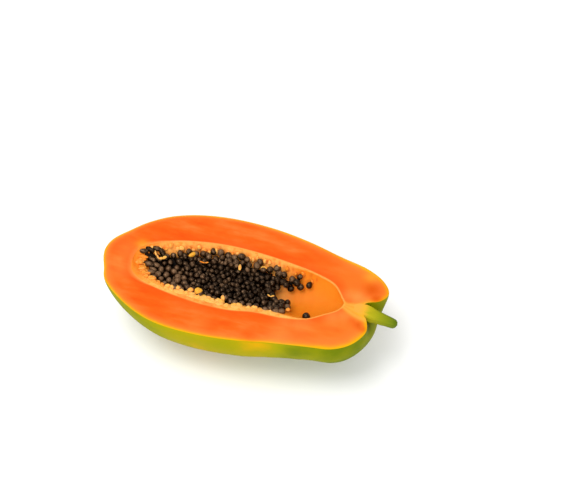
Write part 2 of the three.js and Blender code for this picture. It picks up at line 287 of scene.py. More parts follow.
class PapayaColours(bpy.types.PropertyGroup):
    flesh: colour_setting("Flesh", "#e25c10", "Ripe flesh")
    flesh_deep: colour_setting("Deep Flesh", "#e04c04", "The reddest streaks of the flesh")
    flesh_pale: colour_setting("Pale Flesh", "#e3722c", "The palest streaks of the flesh")
    rind: colour_setting("Rind", "#d99f00", "The yellow line under the skin")
    pulp: colour_setting("Pulp", "#f6aa52", "Nubs and lining of the cavity")
    bowl: colour_setting("Bare Bowl", "#e27c18", "The smooth floor of the cavity")
    skin_green: colour_setting("Green Skin", "#677400", "Skin towards the stem")
    skin_yellow: colour_setting("Yellow Skin", "#a29400", "Skin where it is ripe")
    seed_dark: colour_setting("Dark Seed", "#080200", "Most of the seeds")
    # The grey seed colour is also where each seed's painted highlight on its lit top ends up
    seed_grey: colour_setting("Grey Seed", "#604630", "Seeds that keep more of their jelly")
    stem: colour_setting("Stem", "#888a02", "The green stalk")


class PapayaSettings(bpy.types.PropertyGroup):
    fruit: PointerProperty(type=FruitSizes)
    seeds: PointerProperty(type=SeedSizes)
    pulp: PointerProperty(type=PulpSizes)
    colours: PointerProperty(type=PapayaColours)


def skin_point(along, angle, ridge_height=0.0):
    """A point of the skin, in millimetres round the middle of the fruit. The angle is 0 on
    the far side and a quarter turn underneath."""
    across, down = math.cos(angle), math.sin(angle)
    side = on_spline(FAR_OUTLINE if across > 0 else NEAR_OUTLINE, along)
    under = on_spline(UNDER_OUTLINE, along)
    at = side * across**2 + under * down**2
    ridged = smoothstep(along, *RIDGE_RISE) * (1 - smoothstep(along, *RIDGE_FADE))
    ridge = math.cos(RIDGES * (angle - math.pi / 2)) * down**2
    radius = max(0.0, at.y + ridge_height * ridge * ridged)
    return Vector((at.x, radius * across, CUT - radius * down))


def cavity_share(x):
    turn = (CAVITY_MIDDLE - x) / CAVITY_HALF_LENGTH
    return math.acos(min(1.0, max(-1.0, turn))) / math.pi


def wall_shape(along, across):
    sideways = mix(WALL_SHAPE_NEAR, WALL_SHAPE_FAR, (across + 1) / 2)
    return mix(sideways, WALL_SHAPE_STEM_END, smoothstep(along, *WALL_CHANGE))


def cavity_point(along, angle):
    """A point of the cavity's wall, in millimetres round the middle of the fruit."""
    across, down = math.cos(angle), math.sin(angle)
    far, near, depth = on_spline(CAVITY_SECTIONS, along, full_ends=True)
    width = max(0.0, far if across > 0 else near)
    x = CAVITY_MIDDLE - CAVITY_HALF_LENGTH * math.cos(along * math.pi)
    fall = max(0.0, depth) * (down * down) ** wall_shape(along, across)
    return Vector((x, width * across, CUT - math.copysign(fall, down)))


def wall_depth(x, y):
    """How far the cavity's wall lies under the cut face at a point seen from above."""
    along = cavity_share(x)
    far, near, depth = on_spline(CAVITY_SECTIONS, along, full_ends=True)
    width = max(far if y > 0 else near, 0.01)
    across = min(1.0, max(-1.0, y / width))
    return depth * max(0.0, 1 - across * across) ** wall_shape(along, across)


def rim_distance(x, y):
    """How far a point seen from above lies inside the cavity's rim."""
    far, near, _ = on_spline(CAVITY_SECTIONS, cavity_share(x), full_ends=True)
    return min((far if y > 0 else near) - abs(y), CAVITY_HALF_LENGTH - abs(x - CAVITY_MIDDLE))


def curve_points(points, count):
    return [on_spline(points, i / count) for i in range(count + 1)]


SEED_EDGE = curve_points((*SEED_EDGE_WALL, *SEED_EDGE_FLOOR, SEED_EDGE_WALL[0]), 200)
FLOOR_EDGE = curve_points((SEED_EDGE_WALL[-1], *SEED_EDGE_FLOOR, SEED_EDGE_WALL[0]), 60)


def among_seeds(x, y):
    """Whether a point seen from above is inside the seeds' edge, by counting crossings."""
    inside = False
    for a, b in zip(SEED_EDGE, SEED_EDGE[1:]):
        if (a.y > y) != (b.y > y) and x < a.x + (b.x - a.x) * (y - a.y) / (b.y - a.y):
            inside = not inside
    return inside


def from_edge(x, y, edge=SEED_EDGE):
    """How far a point seen from above lies from the seeds' edge, or from its part along the
    bare floor: less than zero outside the seeds."""
    distance = min(math.hypot(x - at.x, y - at.y) for at in edge)
    return distance if among_seeds(x, y) else -distance


def bed_depth(x, y, sizes):
    """Depth of the seeds' middles under the cut face, in millimetres."""
    inside = smoothstep(rim_distance(x, y), *RIM_TO_MIDDLE)
    level = mix(sizes.rim_depth, sizes.middle_depth, inside) / MM
    on_heap = min(1.0, max(0.0, (x - HEAP_START[0]) / (HEAP_START[1] - HEAP_START[0])))
    if on_heap == 0:
        return level
    return level + on_heap * HEAP_SLOPE * max(0.0, HEAP_REACH - from_edge(x, y, FLOOR_EDGE))


def add_ball(bm, steps):
    """Adds a ball of radius 1 to bm, and returns its points."""
    around, along = steps
    return bmesh.ops.create_uvsphere(bm, u_segments=around, v_segments=along, radius=1.0)["verts"]


def pole_share(co):
    """The share of the way from pole to pole of a point of a ball."""
    return math.acos(min(1.0, max(-1.0, co.z))) / math.pi


def bend_half_ball(bm, material, place):
    """Adds the half of a ball with angles from 0 to a half turn, and moves its points:
    place gives each from its share of the way from pole to pole and its angle round.
    Returns its open edge."""
    half = bmesh.new()
    add_ball(half, FRUIT_STEPS)
    bmesh.ops.bisect_plane(
        half, geom=[*half.verts, *half.edges, *half.faces], dist=1e-5,
        plane_co=(0, 0, 0), plane_no=(0, 1, 0), clear_inner=True,
    )
    for vert in half.verts:
        vert.co = place(pole_share(vert.co), math.atan2(max(0.0, vert.co.y), vert.co.x))
    for face in half.faces:
        face.material_index = material
    mesh = bpy.data.meshes.new("half_ball")
    half.to_mesh(mesh)
    half.free()
    before = set(bm.edges)
    bm.from_mesh(mesh)
    bpy.data.meshes.remove(mesh)
    return [e for e in bm.edges if e.is_boundary and e not in before]


def many_balls(bm, count, steps):
    """Adds this many balls to bm, and returns each one's points."""
    balls = [add_ball(bm, steps)]
    while len(balls) < count:
        copied = balls[: count - len(balls)]
        verts = [v for ball in copied for v in ball]
        edges = list({e for v in verts for e in v.link_edges})
        faces = list({f for v in verts for f in v.link_faces})
        twin = bmesh.ops.duplicate(bm, geom=verts + edges + faces)["vert_map"]
        balls += [[twin[v] for v in ball] for ball in copied]
    return balls


LUMP_FOLDS = 1.4  # to a lump's radius


def shape_lump(ball, centre, radii, turn, rough, rng):
    """Makes a ball a small uneven lump, with its poles on its long axis."""
    shift = Vector([rng.uniform(0, 100) for _ in range(3)])
    turned = Euler(turn).to_matrix()
    for vert in ball:
        swell = 1 + rough * noise.noise(vert.co * LUMP_FOLDS + shift)
        shaped = Vector([c * r for c, r in zip(vert.co * swell, radii)])
        vert.co = centre + turned @ shaped


def keep_under(ball, top):
    """Lowers a ball that stands higher than this, in millimetres."""
    too_high = max(v.co.z for v in ball) - top * MM
    for vert in ball:
        vert.co.z -= max(0.0, too_high)


def finish_piece(name, bm, materials, replaced=()):
    """Makes an object of bm in the frame, riding on the fruit."""
    mesh = bpy.data.meshes.new(name)
    bm.to_mesh(mesh)
    bm.free()
    for material in materials:
        mesh.materials.append(material)
    mesh.shade_smooth()
    piece = bpy.data.objects.new(name, mesh)
    bpy.context.scene.collection.objects.link(piece)
    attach(piece, "root")
    if replaced:
        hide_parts(*replaced)
    return piece


def add_node(tree, kind, inputs=None, stops=None, **settings):
    """Adds a node. inputs gives each socket a value, another node or one of its outputs,
    and stops gives a colour ramp its places and colours. A node that is given whole is
    linked by its first output in use."""
    made = tree.nodes.new("ShaderNode" + kind)
    for key, value in settings.items():
        setattr(made, key, value)
    if stops:
        ramp = made.color_ramp.elements
        while len(ramp) < len(stops):
            ramp.new(1.0)
        for element, (place, colour) in zip(ramp, stops):
            element.position = place
            element.color = colour
    for key, value in (inputs or {}).items():
        if isinstance(value, bpy.types.Node):
            value = next(output for output in value.outputs if output.enabled)
        if isinstance(value, bpy.types.NodeSocket):
            tree.links.new(value, made.inputs[key])
        else:
            made.inputs[key].default_value = value
    return made


def new_material(name):
    """A material with an empty node tree, and the function that adds its nodes."""
    material = bpy.data.materials.new(name)
    material.use_nodes = True
    material.node_tree.nodes.clear()
    return material, partial(add_node, material.node_tree)


def grey(value):
    return (value, value, value, 1.0)


FACTOR, MIX_A, MIX_B = 0, 6, 7  # the sockets of a mix node that mixes colours
LOW, HIGH, TO_LOW, TO_HIGH = 1, 2, 3, 4  # the sockets of a map range node


def flesh_material(colours):
    """Ripe papaya flesh, sliced with a knife: moist and slightly clear, with soft redder
    streaks along the fruit, paler towards the rind and yellow where the rind begins."""
    material, add = new_material("papaya_flesh_sliced")
    place = add("TexCoord").outputs["Object"]
    along, across, _ = add("SeparateXYZ", {0: place}).outputs
    rind, cavity, spot, pale, yellow, cord = (
        add("Attribute", attribute_name=name).outputs["Fac"]
        for name in ("rind_mm", "cavity_mm", "spot", "pale", "yellow", "cord")
    )
    # Streaks about 30 mm long and 10 mm wide
    stretched = add("Mapping", {"Vector": place, "Scale": (0.35, 1.1, 1.1)})
    streaks = add(
        "TexNoise", {"Vector": stretched, "Scale": 95.0, "Detail": 4.0, "Roughness": 0.55}
    )
    colour = add(
        "ValToRGB", {0: streaks},
        stops=[(0.3, colours.flesh_deep), (0.5, colours.flesh), (0.72, colours.flesh_pale)],
    )
    paler = add(
        "MapRange", {"Value": along, LOW: 0.035, HIGH: 0.115, TO_LOW: 0.0, TO_HIGH: 0.75},
        interpolation_type="SMOOTHSTEP",
    )
    # The rind reaches in 8.5 mm on the near side and 5 mm on the far side, and up to 7 mm
    # more towards the stem, with an edge that wavers every 8 mm
    reach = add(
        "MapRange", {"Value": across, LOW: -0.02, HIGH: 0.03, TO_LOW: 8.5, TO_HIGH: 5.0}
    )
    stem_reach = add(
        "MapRange", {"Value": along, LOW: 0.0, HIGH: 0.112, TO_LOW: 0.0, TO_HIGH: 7.0}
    )
    reach = add("Math", {0: reach, 1: stem_reach}, operation="ADD")
    rind_share = add("Math", {0: rind, 1: reach}, operation="DIVIDE")
    wobble = add("TexNoise", {"Vector": place, "Scale": 120.0, "Detail": 2.0})
    rind_share = add("Math", {0: wobble, 1: 0.16, 2: rind_share}, operation="MULTIPLY_ADD")
    rind_share = add("Math", {0: rind_share, 1: 0.08}, operation="SUBTRACT")
    rind_colour = add(
        "ValToRGB", {0: rind_share},
        stops=[
            (0.0, colours.rind), (0.07, colours.rind), (0.15, srgb("#e38f1e")),
            (0.32, srgb("#e37c2a")), (0.6, srgb("#e3722c")),
        ],
    )
    rind_mask = add(
        "ValToRGB", {0: rind_share},
        stops=[(0.0, grey(1.0)), (0.12, grey(1.0)), (0.3, grey(0.7)), (0.9, grey(0.0))],
    )
    # Redder within 10 mm of the cavity
    cavity_share = add("Math", {0: cavity, 1: 10.0}, operation="DIVIDE")
    redder = add(
        "ValToRGB", {0: cavity_share},
        stops=[(0.0, grey(0.65)), (0.3, grey(0.6)), (0.95, grey(0.0))],
    )
    # A pale line on the cavity's edge: 1.3 mm wide, but 4 mm and faint at the blossom end
    line_reach = add(
        "MapRange", {"Value": along, LOW: -0.078, HIGH: -0.06, TO_LOW: 4.0, TO_HIGH: 1.3}
    )
    line_share = add("Math", {0: cavity, 1: line_reach}, operation="DIVIDE")
    line = add(
        "ValToRGB", {0: line_share},
        stops=[(0.0, grey(0.85)), (0.35, grey(0.6)), (1.0, grey(0.0))],
    )
    line_fade = add(
        "MapRange", {"Value": along, LOW: -0.083, HIGH: -0.066, TO_LOW: 0.3, TO_HIGH: 1.0}
    )
    line = add("Math", {0: line, 1: line_fade}, operation="MULTIPLY")
    # Each colour lies over those before it: paler towards the stem, the rind, the cavity's
    # edge, bruised redder spots, and the pale and yellow ones and the cords at the stem
    for share, over in (
        (paler, srgb("#e37424")), (rind_mask, rind_colour), (redder, colours.flesh_deep),
        (line, colours.pulp), (spot, srgb("#cf5000")), (pale, srgb("#e3863c")),
        (yellow, srgb("#e3a226")), (cord, srgb("#e39c3a")),
    ):
        colour = add("Mix", {FACTOR: share, MIX_A: colour, MIX_B: over}, data_type="RGBA")
    # Cell grain about 1 mm across, drawn coarser than the real 0.3 mm so that it shows
    grain = add("TexNoise", {"Vector": place, "Scale": 900.0, "Detail": 3.0})
    bump = add("Bump", {"Height": grain, "Strength": 0.35, "Distance": 0.25 * MM})
    wet = add("MapRange", {"Value": streaks, TO_LOW: 0.34, TO_HIGH: 0.52})
    shader = add(
        "BsdfPrincipled",
        {
            "Base Color": colour, "Roughness": wet, "Normal": bump,
            "IOR": 1.38, "Specular IOR Level": 0.12, "Subsurface Weight": 0.15,
            "Subsurface Radius": (1.0, 0.3, 0.1), "Subsurface Scale": 2.0 * MM,
        },
    )
    add("OutputMaterial", {0: shader})
    return material


def skin_material(colours):
    """Papaya skin: thin, waxy and smooth, green at the shoulder and yellow where it has
    ripened, with fine pale pores."""
    material, add = new_material("papaya_skin_waxy")
    place = add("TexCoord").outputs["Object"]
    along, across, _ = add("SeparateXYZ", {0: place}).outputs
    ripe_patch, scar_and_shadow = (
        add("Attribute", attribute_name=name).outputs["Fac"] for name in ("yellow", "scar_and_shadow")
    )
    # Patches about 35 mm across, greener towards both ends, and yellower towards the far
    # side and where a ripe patch was set
    patches = add("TexNoise", {"Vector": place, "Scale": 28.0, "Detail": 4.0, "Roughness": 0.5})
    stem_end = add(
        "MapRange", {"Value": along, LOW: 0.02, HIGH: 0.10, TO_LOW: 0.0, TO_HIGH: 0.55}
    )
    blossom_end = add(
        "MapRange", {"Value": along, LOW: -0.03, HIGH: -0.085, TO_LOW: 0.0, TO_HIGH: 0.35}
    )
    far_side = add(
        "MapRange", {"Value": across, LOW: -0.03, HIGH: 0.05, TO_LOW: 0.0, TO_HIGH: 0.55}
    )
    green = add("Math", {0: stem_end, 1: blossom_end}, operation="ADD")
    green = add("Math", {0: green, 1: far_side}, operation="SUBTRACT")
    green = add("Math", {0: ripe_patch, 1: -0.6, 2: green}, operation="MULTIPLY_ADD")
    green = add("Math", {0: patches, 1: 0.9, 2: green}, operation="MULTIPLY_ADD")
    colour = add(
        "ValToRGB", {0: green},
        stops=[
            (0.0, srgb("#e08c00")), (0.22, srgb("#d09a00")), (0.45, colours.skin_yellow),
            (0.66, srgb("#929000")), (0.98, colours.skin_green),
        ],
    )
    # Pores about 0.6 mm across and 2 mm apart, then the brown scars beside the stem, with painted
    # shadow in the pit under the stem
    pores = add("TexVoronoi", {"Vector": place, "Scale": 480.0})
    pore = add("ValToRGB", {0: pores}, stops=[(0.0, grey(0.35)), (0.16, grey(0.0))])
    for share, over in ((pore, srgb("#b4a408")), (scar_and_shadow, srgb("#3a2a08"))):
        colour = add("Mix", {FACTOR: share, MIX_A: colour, MIX_B: over}, data_type="RGBA")
    bump = add("Bump", {"Height": pores, "Strength": 0.12, "Distance": 0.2 * MM})
    shader = add(
        "BsdfPrincipled",
        {
            "Base Color": colour, "Roughness": 0.5, "Normal": bump, "IOR": 1.45,
            "Specular IOR Level": 0.02,
        },
    )
    add("OutputMaterial", {0: shader})
    return material


def lining_material(colours):
    """The cavity's inner skin: soft wet pulp, pale and lumpy where seeds were held, with
    red pits where their cords tore off, and smooth and deeper in colour on the bare floor."""
    material, add = new_material("papaya_cavity_lining_wet")
    place = add("TexCoord").outputs["Object"]
    along, _, height = add("SeparateXYZ", {0: place}).outputs
    pits = add("Attribute", attribute_name="spot").outputs["Fac"]
    # Pale down to 4 mm beside the seeds, and to 1.5 mm round the bare floor
    pale_to = add(
        "MapRange",
        {
            "Value": along, LOW: 0.03, HIGH: 0.055,
            TO_LOW: (CUT - 4.0) * MM, TO_HIGH: (CUT - 1.5) * MM,
        },
    )
    depth = add(
        "MapRange",
        {"Value": height, LOW: (CUT - 0.3) * MM, HIGH: pale_to, TO_LOW: 0.0, TO_HIGH: 1.0},
        interpolation_type="SMOOTHSTEP",
    )
    bare = add("MapRange", {"Value": along, LOW: 0.03, HIGH: 0.05, TO_LOW: 0.15, TO_HIGH: 1.0})
    deep = add("Math", {0: depth, 1: bare}, operation="MULTIPLY")
    # Folds about 4 mm across, with deeper orange between them
    folds = add("TexNoise", {"Vector": place, "Scale": 230.0, "Detail": 3.0})
    fold = add("ValToRGB", {0: folds}, stops=[(0.34, grey(0.55)), (0.48, grey(0.0))])
    lumpy = add("Math", {0: fold, 1: deep}, operation="SUBTRACT", use_clamp=True)
    # Faint threads, about 2.4 mm apart, that run up the bowl's wall
    thread_place = add("Mapping", {"Vector": place, "Scale": (1.0, 0.12, 0.12)})
    threads = add("TexNoise", {"Vector": thread_place, "Scale": 420.0})
    thread = add("ValToRGB", {0: threads}, stops=[(0.4, grey(0.0)), (0.62, grey(0.1))])
    blossom_end = add(
        "MapRange", {"Value": along, LOW: -0.058, HIGH: -0.074, TO_LOW: 0.0, TO_HIGH: 0.8}
    )
    # Each colour lies over those before it
    colour = colours.pulp
    for share, over in (
        (deep, colours.bowl), (lumpy, srgb("#e0750f")), (thread, srgb("#d86208")),
        (blossom_end, srgb("#e8780c")), (pits, srgb("#c04a10")),
    ):
        colour = add("Mix", {FACTOR: share, MIX_A: colour, MIX_B: over}, data_type="RGBA")
    bump = add("Bump", {"Height": folds, "Strength": 0.35, "Distance": 0.6 * MM})
    shader = add(
        "BsdfPrincipled",
        {
            "Base Color": colour, "Roughness": 0.45, "Normal": bump,
            "IOR": 1.38, "Specular IOR Level": 0.12, "Subsurface Weight": 0.25,
            "Subsurface Radius": (1.0, 0.4, 0.12), "Subsurface Scale": 2.0 * MM,
        },
    )
    add("OutputMaterial", {0: shader})
    return material


def pulp_material(colours):
    """Torn pulp: pale, wet and slightly clear, each nub a little lighter or yellower."""
    material, add = new_material("papaya_pulp_torn")
    place = add("TexCoord").outputs["Object"]
    tone = add("Attribute", attribute_name="tone").outputs["Fac"]
    colour = add(
        "ValToRGB", {0: tone},
        stops=[
            (0.0, srgb("#e07c1c")), (0.35, colours.pulp), (0.75, srgb("#eeaa58")),
            (1.0, srgb("#e3a236")),
        ],
    )
    # Grain about 1.4 mm across
    grain = add("TexNoise", {"Vector": place, "Scale": 700.0, "Detail": 2.0})
    bump = add("Bump", {"Height": grain, "Strength": 0.4, "Distance": 0.3 * MM})
    shader = add(
        "BsdfPrincipled",
        {
            "Base Color": colour, "Roughness": 0.45, "Normal": bump,
            "IOR": 1.38, "Specular IOR Level": 0.15, "Subsurface Weight": 0.3,
            "Subsurface Radius": (1.0, 0.45, 0.15), "Subsurface Scale": 2.0 * MM,
        },
    )
    add("OutputMaterial", {0: shader})
    return material


def seed_material(colours):
    """Papaya seeds, wet and wrinkled in what is left of their jelly: near black and brown,
    greyer where the jelly is whole, darker in the deep middle as painted shade, with
    painted highlights in pale patches and on the lit top of each seed."""
    material, add = new_material("papaya_seed_wet")
    place = add("TexCoord").outputs["Object"]
    tone = add("Attribute", attribute_name="tone").outputs["Fac"]
    # Wrinkles about 1.2 mm apart
    wrinkles = add("TexNoise", {"Vector": place, "Scale": 800.0, "Detail": 3.0, "Roughness": 0.6})
    mottled = add("Math", {0: wrinkles, 1: 0.4, 2: tone}, operation="MULTIPLY_ADD")
    colour = add(
        "ValToRGB", {0: mottled},
        stops=[
            (0.2, colours.seed_dark), (0.5, srgb("#150903")), (0.75, srgb("#332010")),
            (1.0, colours.seed_grey),
        ],
    )
    # Painted highlights: pale glints in patches about 2.4 mm across, less on dark seeds
    patches = add("TexNoise", {"Vector": place, "Scale": 420.0, "Detail": 2.0})
    painted_highlight = add("ValToRGB", {0: patches}, stops=[(0.55, grey(0.0)), (0.7, grey(0.45))])
    highlight_share = add("MapRange", {"Value": tone, LOW: 0.0, HIGH: 0.35, TO_LOW: 0.3, TO_HIGH: 1.2})
    painted_highlight = add("Math", {0: painted_highlight, 1: highlight_share}, operation="MULTIPLY")
    highlighted = add("Mix", {FACTOR: painted_highlight, MIX_A: colour, MIX_B: srgb("#83664c")}, data_type="RGBA")
    bump = add("Bump", {"Height": wrinkles, "Strength": 0.6, "Distance": 0.5 * MM})
    # The dark seeds in the middle are shaded by their neighbours and shine less
    gloss = add("MapRange", {"Value": tone, LOW: 0.0, HIGH: 0.35, TO_LOW: 0.26, TO_HIGH: 0.6})
    shader = add(
        "BsdfPrincipled",
        {
            "Base Color": highlighted, "Roughness": 0.22, "Normal": bump,
            "IOR": 1.45, "Specular IOR Level": gloss, "Specular Tint": srgb("#ffd0a4"),
        },
    )
    add("OutputMaterial", {0: shader})
    return material


def seed_bed_shade_material():
    """The jelly and seed skins under the top seeds: almost black, their own dark colour and
    painted shade in the gaps between the seeds.
    """
    material, add = new_material("papaya_seed_bed_painted_shade")
    place = add("TexCoord").outputs["Object"]
    # Mottled about every 3 mm
    mottle = add("TexNoise", {"Vector": place, "Scale": 300.0, "Detail": 2.0})
    colour = add("ValToRGB", {0: mottle}, stops=[(0.3, srgb("#0b0705")), (0.7, srgb("#1c120a"))])
    shader = add(
        "BsdfPrincipled", {"Base Color": colour, "Roughness": 0.6, "Specular IOR Level": 0.05}
    )
    add("OutputMaterial", {0: shader})
    return material


def stem_material(colours):
    """A fresh green stalk: ribbed and fibrous, yellow where it was cut."""
    material, add = new_material("papaya_stem_green")
    place = add("TexCoord").outputs["Object"]
    start, end = ((x - SPOT_X) * MM for x in STEM_SHOWN)
    along = add("MapRange", {"Value": add("SeparateXYZ", {0: place}), LOW: start, HIGH: end})
    # Fibres about 1.2 mm apart that run along the stalk
    fibre_place = add("Mapping", {"Vector": place, "Scale": (0.12, 1.0, 1.0)})
    fibres = add("TexNoise", {"Vector": fibre_place, "Scale": 850.0, "Detail": 3.0})
    shifted = add("Math", {0: fibres, 1: 0.16, 2: along}, operation="MULTIPLY_ADD")
    colour = add(
        "ValToRGB", {0: shifted},
        stops=[
            (0.06, srgb("#e3983a")), (0.2, srgb("#dfa028")), (0.34, srgb("#a89c0c")),
            (0.6, colours.stem), (0.85, srgb("#6c7800")), (1.0, srgb("#586a00")),
        ],
    )
    bump = add("Bump", {"Height": fibres, "Strength": 0.5, "Distance": 0.4 * MM})
    shader = add(
        "BsdfPrincipled",
        {"Base Color": colour, "Roughness": 0.55, "Normal": bump, "Specular IOR Level": 0.12},
    )
    add("OutputMaterial", {0: shader})
    return material


def floor_material():
    """A plain matte white sweep."""
    material, add = new_material("studio_floor_matte")
    shader = add(
        "BsdfPrincipled",
        {"Base Color": srgb("#f6f6f6"), "Roughness": 0.9, "Specular IOR Level": 0.1},
    )
    add("OutputMaterial", {0: shader})
    return material


SKIN, FLESH, LINING = 0, 1, 2  # the fruit's material numbers
SWELLING_SIZES = (34.0, 11.0)  # of the skin, in millimetres
SWELLING_FADE = 12.0  # under the cut
FOLD_SIZES = (3.2, 5.0, 6.0)  # of the cavity's wall: along, across and down
FOLD_FADE = 2.5
FLOOR_START = (38, 50)  # along, where the folds give way to the smooth bare floor

# Soft spots seen from above: along, across, reach in millimetres, and strength
SPOTS = (  # redder
    (101.2, 18.2, 7.5, 1.0), (106.3, 11.0, 5.0, 1.0), (104.7, 17.2, 10.0, 0.55),
    (93.2, -14.9, 3.5, 0.6), (98.6, -17.4, 4.0, 0.9), (102.5, -20.2, 3.5, 0.8),
    (84.1, -26.3, 1.6, 0.5), (-62.0, -38.0, 9.0, 0.6), (-38.0, -33.0, 10.0, 0.45),
    (20.0, -48.0, 7.0, 0.6), (62.0, 38.0, 12.0, 0.4), (-80.0, 26.0, 12.0, 0.4),
    (-18.0, -31.0, 8.0, 0.5), (16.0, -31.0, 8.0, 0.4),
)
PALE_SPOTS = (
    (85.9, 7.9, 6.0, 0.5), (91.5, 8.5, 6.0, 0.75), (96.5, 7.8, 4.5, 0.5),
    (77.6, -14.5, 7.0, 0.5), (84.5, -12.0, 6.0, 0.5), (-98.0, 4.0, 12.0, 0.3),
    (55.4, -29.4, 10.0, 0.35), (43.4, -29.7, 9.0, 0.3), (-20.0, -49.0, 8.0, 0.2),
    (43.0, -42.5, 11.0, 0.45), (-97.0, -17.0, 10.0, 0.3),
)
SCARS_AND_PIT_SHADOW = (  # brown scars on the pit's skin beside the stem, and painted shadow under the stem
    (106.1, -9.7, 3.2, 1.0), (106.1, -13.2, 3.4, 0.75), (108.0, 2.4, 2.4, 0.85),
)
SCAR_AND_SHADOW_FADE = (5.0, 15.0)  # depths under the cut face
YELLOW_SPOTS = (  # most are at the stem
    (99.0, -5.7, 4.2, 0.95), (95.0, -5.0, 4.4, 0.8), (100.0, -1.0, 3.6, 0.85),
    (101.5, -9.5, 2.4, 0.8), (91.0, -4.0, 4.2, 0.7), (-88.0, 13.5, 5.0, 0.5),
    (97.9, 30.5, 5.0, 0.5), (104.0, 4.0, 2.0, 0.7),
)
RIPE_SKIN = ((30.0, -54.0, 12.0, 0.28),)  # an orange patch of skin
CORDS = (  # their paths to the stem, seen from above
    ((82.0, 0.4), (86.5, -0.6), (92.0, 0.2), (97.0, 1.6), (103.0, 5.0)),
    ((83.0, -3.5), (89.0, -7.0), (96.0, -10.0), (102.5, -11.5)),
    ((82.5, -1.5), (88.7, -3.3), (93.9, -4.9), (98.0, -5.7)),
)
CORD_WIDTH = 1.7
CORD_STRENGTH = 0.85
PIT_REACH = 1.1
PIT_STRENGTH = 0.7
PIT_SCATTER = 5  # picks the pits' places
FACE_DEPTH = 0.4  # points that lie deeper belong to the skin or the cavity
FLESH_MARKS = ("rind_mm", "cavity_mm", "spot", "cord", "pale", "yellow", "scar_and_shadow")


def nearest_tree(points):
    tree = KDTree(len(points))
    for i, point in enumerate(points):
        tree.insert(point, i)
    tree.balance()
    return tree


def uneven_skin(point, height):
    """A point of the skin with its shallow swellings, which fade towards the cut."""
    fade = smoothstep(CUT - point.z, 0.0, SWELLING_FADE)
    large, small = SWELLING_SIZES
    swell = noise.noise(point / large) + 0.4 * noise.noise(point / small)
    centre = Vector((point.x, 0, CUT))
    outward = (point - centre).normalized() if (point - centre).length > 1 else Vector()
    return point + outward * swell * fade * height


def uneven_wall(point, angle, height):
    """A point of the cavity's wall with its folds, which fade at the cut and on the bare
    floor."""
    fade = smoothstep(CUT - point.z, 0.0, FOLD_FADE)
    fade *= mix(1.0, 0.08, smoothstep(point.x, *FLOOR_START))
    folds = noise.noise(Vector([c / size for c, size in zip(point, FOLD_SIZES)]))
    inward = Vector((0, -math.cos(angle), 0.4))
    return point + inward * folds * fade * height


def strongest(spots, at):
    """The strongest of these soft spots at a point."""
    return max(
        strength * math.exp(-(((at.x - x) ** 2 + (at.y - y) ** 2) / reach**2))
        for x, y, reach, strength in spots
    )


def torn_pits():
    """Where cords tore off the far wall and left red pits, seen from above."""
    rng = random.Random(PIT_SCATTER)
    pits = []
    x = -82.0
    while x < 60:
        far = on_spline(CAVITY_SECTIONS, cavity_share(x), full_ends=True)[0]
        pits.append(Vector((x, far - rng.uniform(1.4, 3.6), 0)))
        x += rng.uniform(2.5, 6.0)
    return pits


def mark_flesh(bm, skin_points, wall_points):
    """Writes each point's distance to the rind and to the cavity, and where the spots, the
    cords, and the scars with the painted shadow of the pit lie, for the colours of the flesh,
    the lining and the skin."""
    layers = [bm.verts.layers.float[name] for name in FLESH_MARKS]
    rind_mm, cavity_mm, spot, cord, pale, yellow, scar_and_shadow = layers
    rind = nearest_tree(skin_points)
    cavity = nearest_tree(wall_points)
    cords = nearest_tree([p.to_3d() for path in CORDS for p in curve_points(path, 24)])
    pits = nearest_tree(torn_pits())
    for vert in bm.verts:
        at = vert.co / MM
        flat = Vector((at.x + SPOT_X, at.y, 0))
        vert[rind_mm] = rind.find(at)[2]
        vert[cavity_mm] = cavity.find(at)[2]
        # Brown scars, and the painted shadow of the pit under the stem, fading with depth
        vert[scar_and_shadow] = strongest(SCARS_AND_PIT_SHADOW, flat) * (1 - smoothstep(CUT - at.z, *SCAR_AND_SHADOW_FADE))
        if CUT - at.z > FACE_DEPTH:
            vert[spot] = PIT_STRENGTH * math.exp(-((pits.find(flat)[2] / PIT_REACH) ** 2))
            vert[yellow] = strongest(RIPE_SKIN, flat)
            continue
        vert[spot] = strongest(SPOTS, flat)
        vert[pale] = strongest(PALE_SPOTS, flat)
        vert[yellow] = strongest(YELLOW_SPOTS, flat)
        vert[cord] = CORD_STRENGTH * math.exp(-((cords.find(flat)[2] / CORD_WIDTH) ** 2))


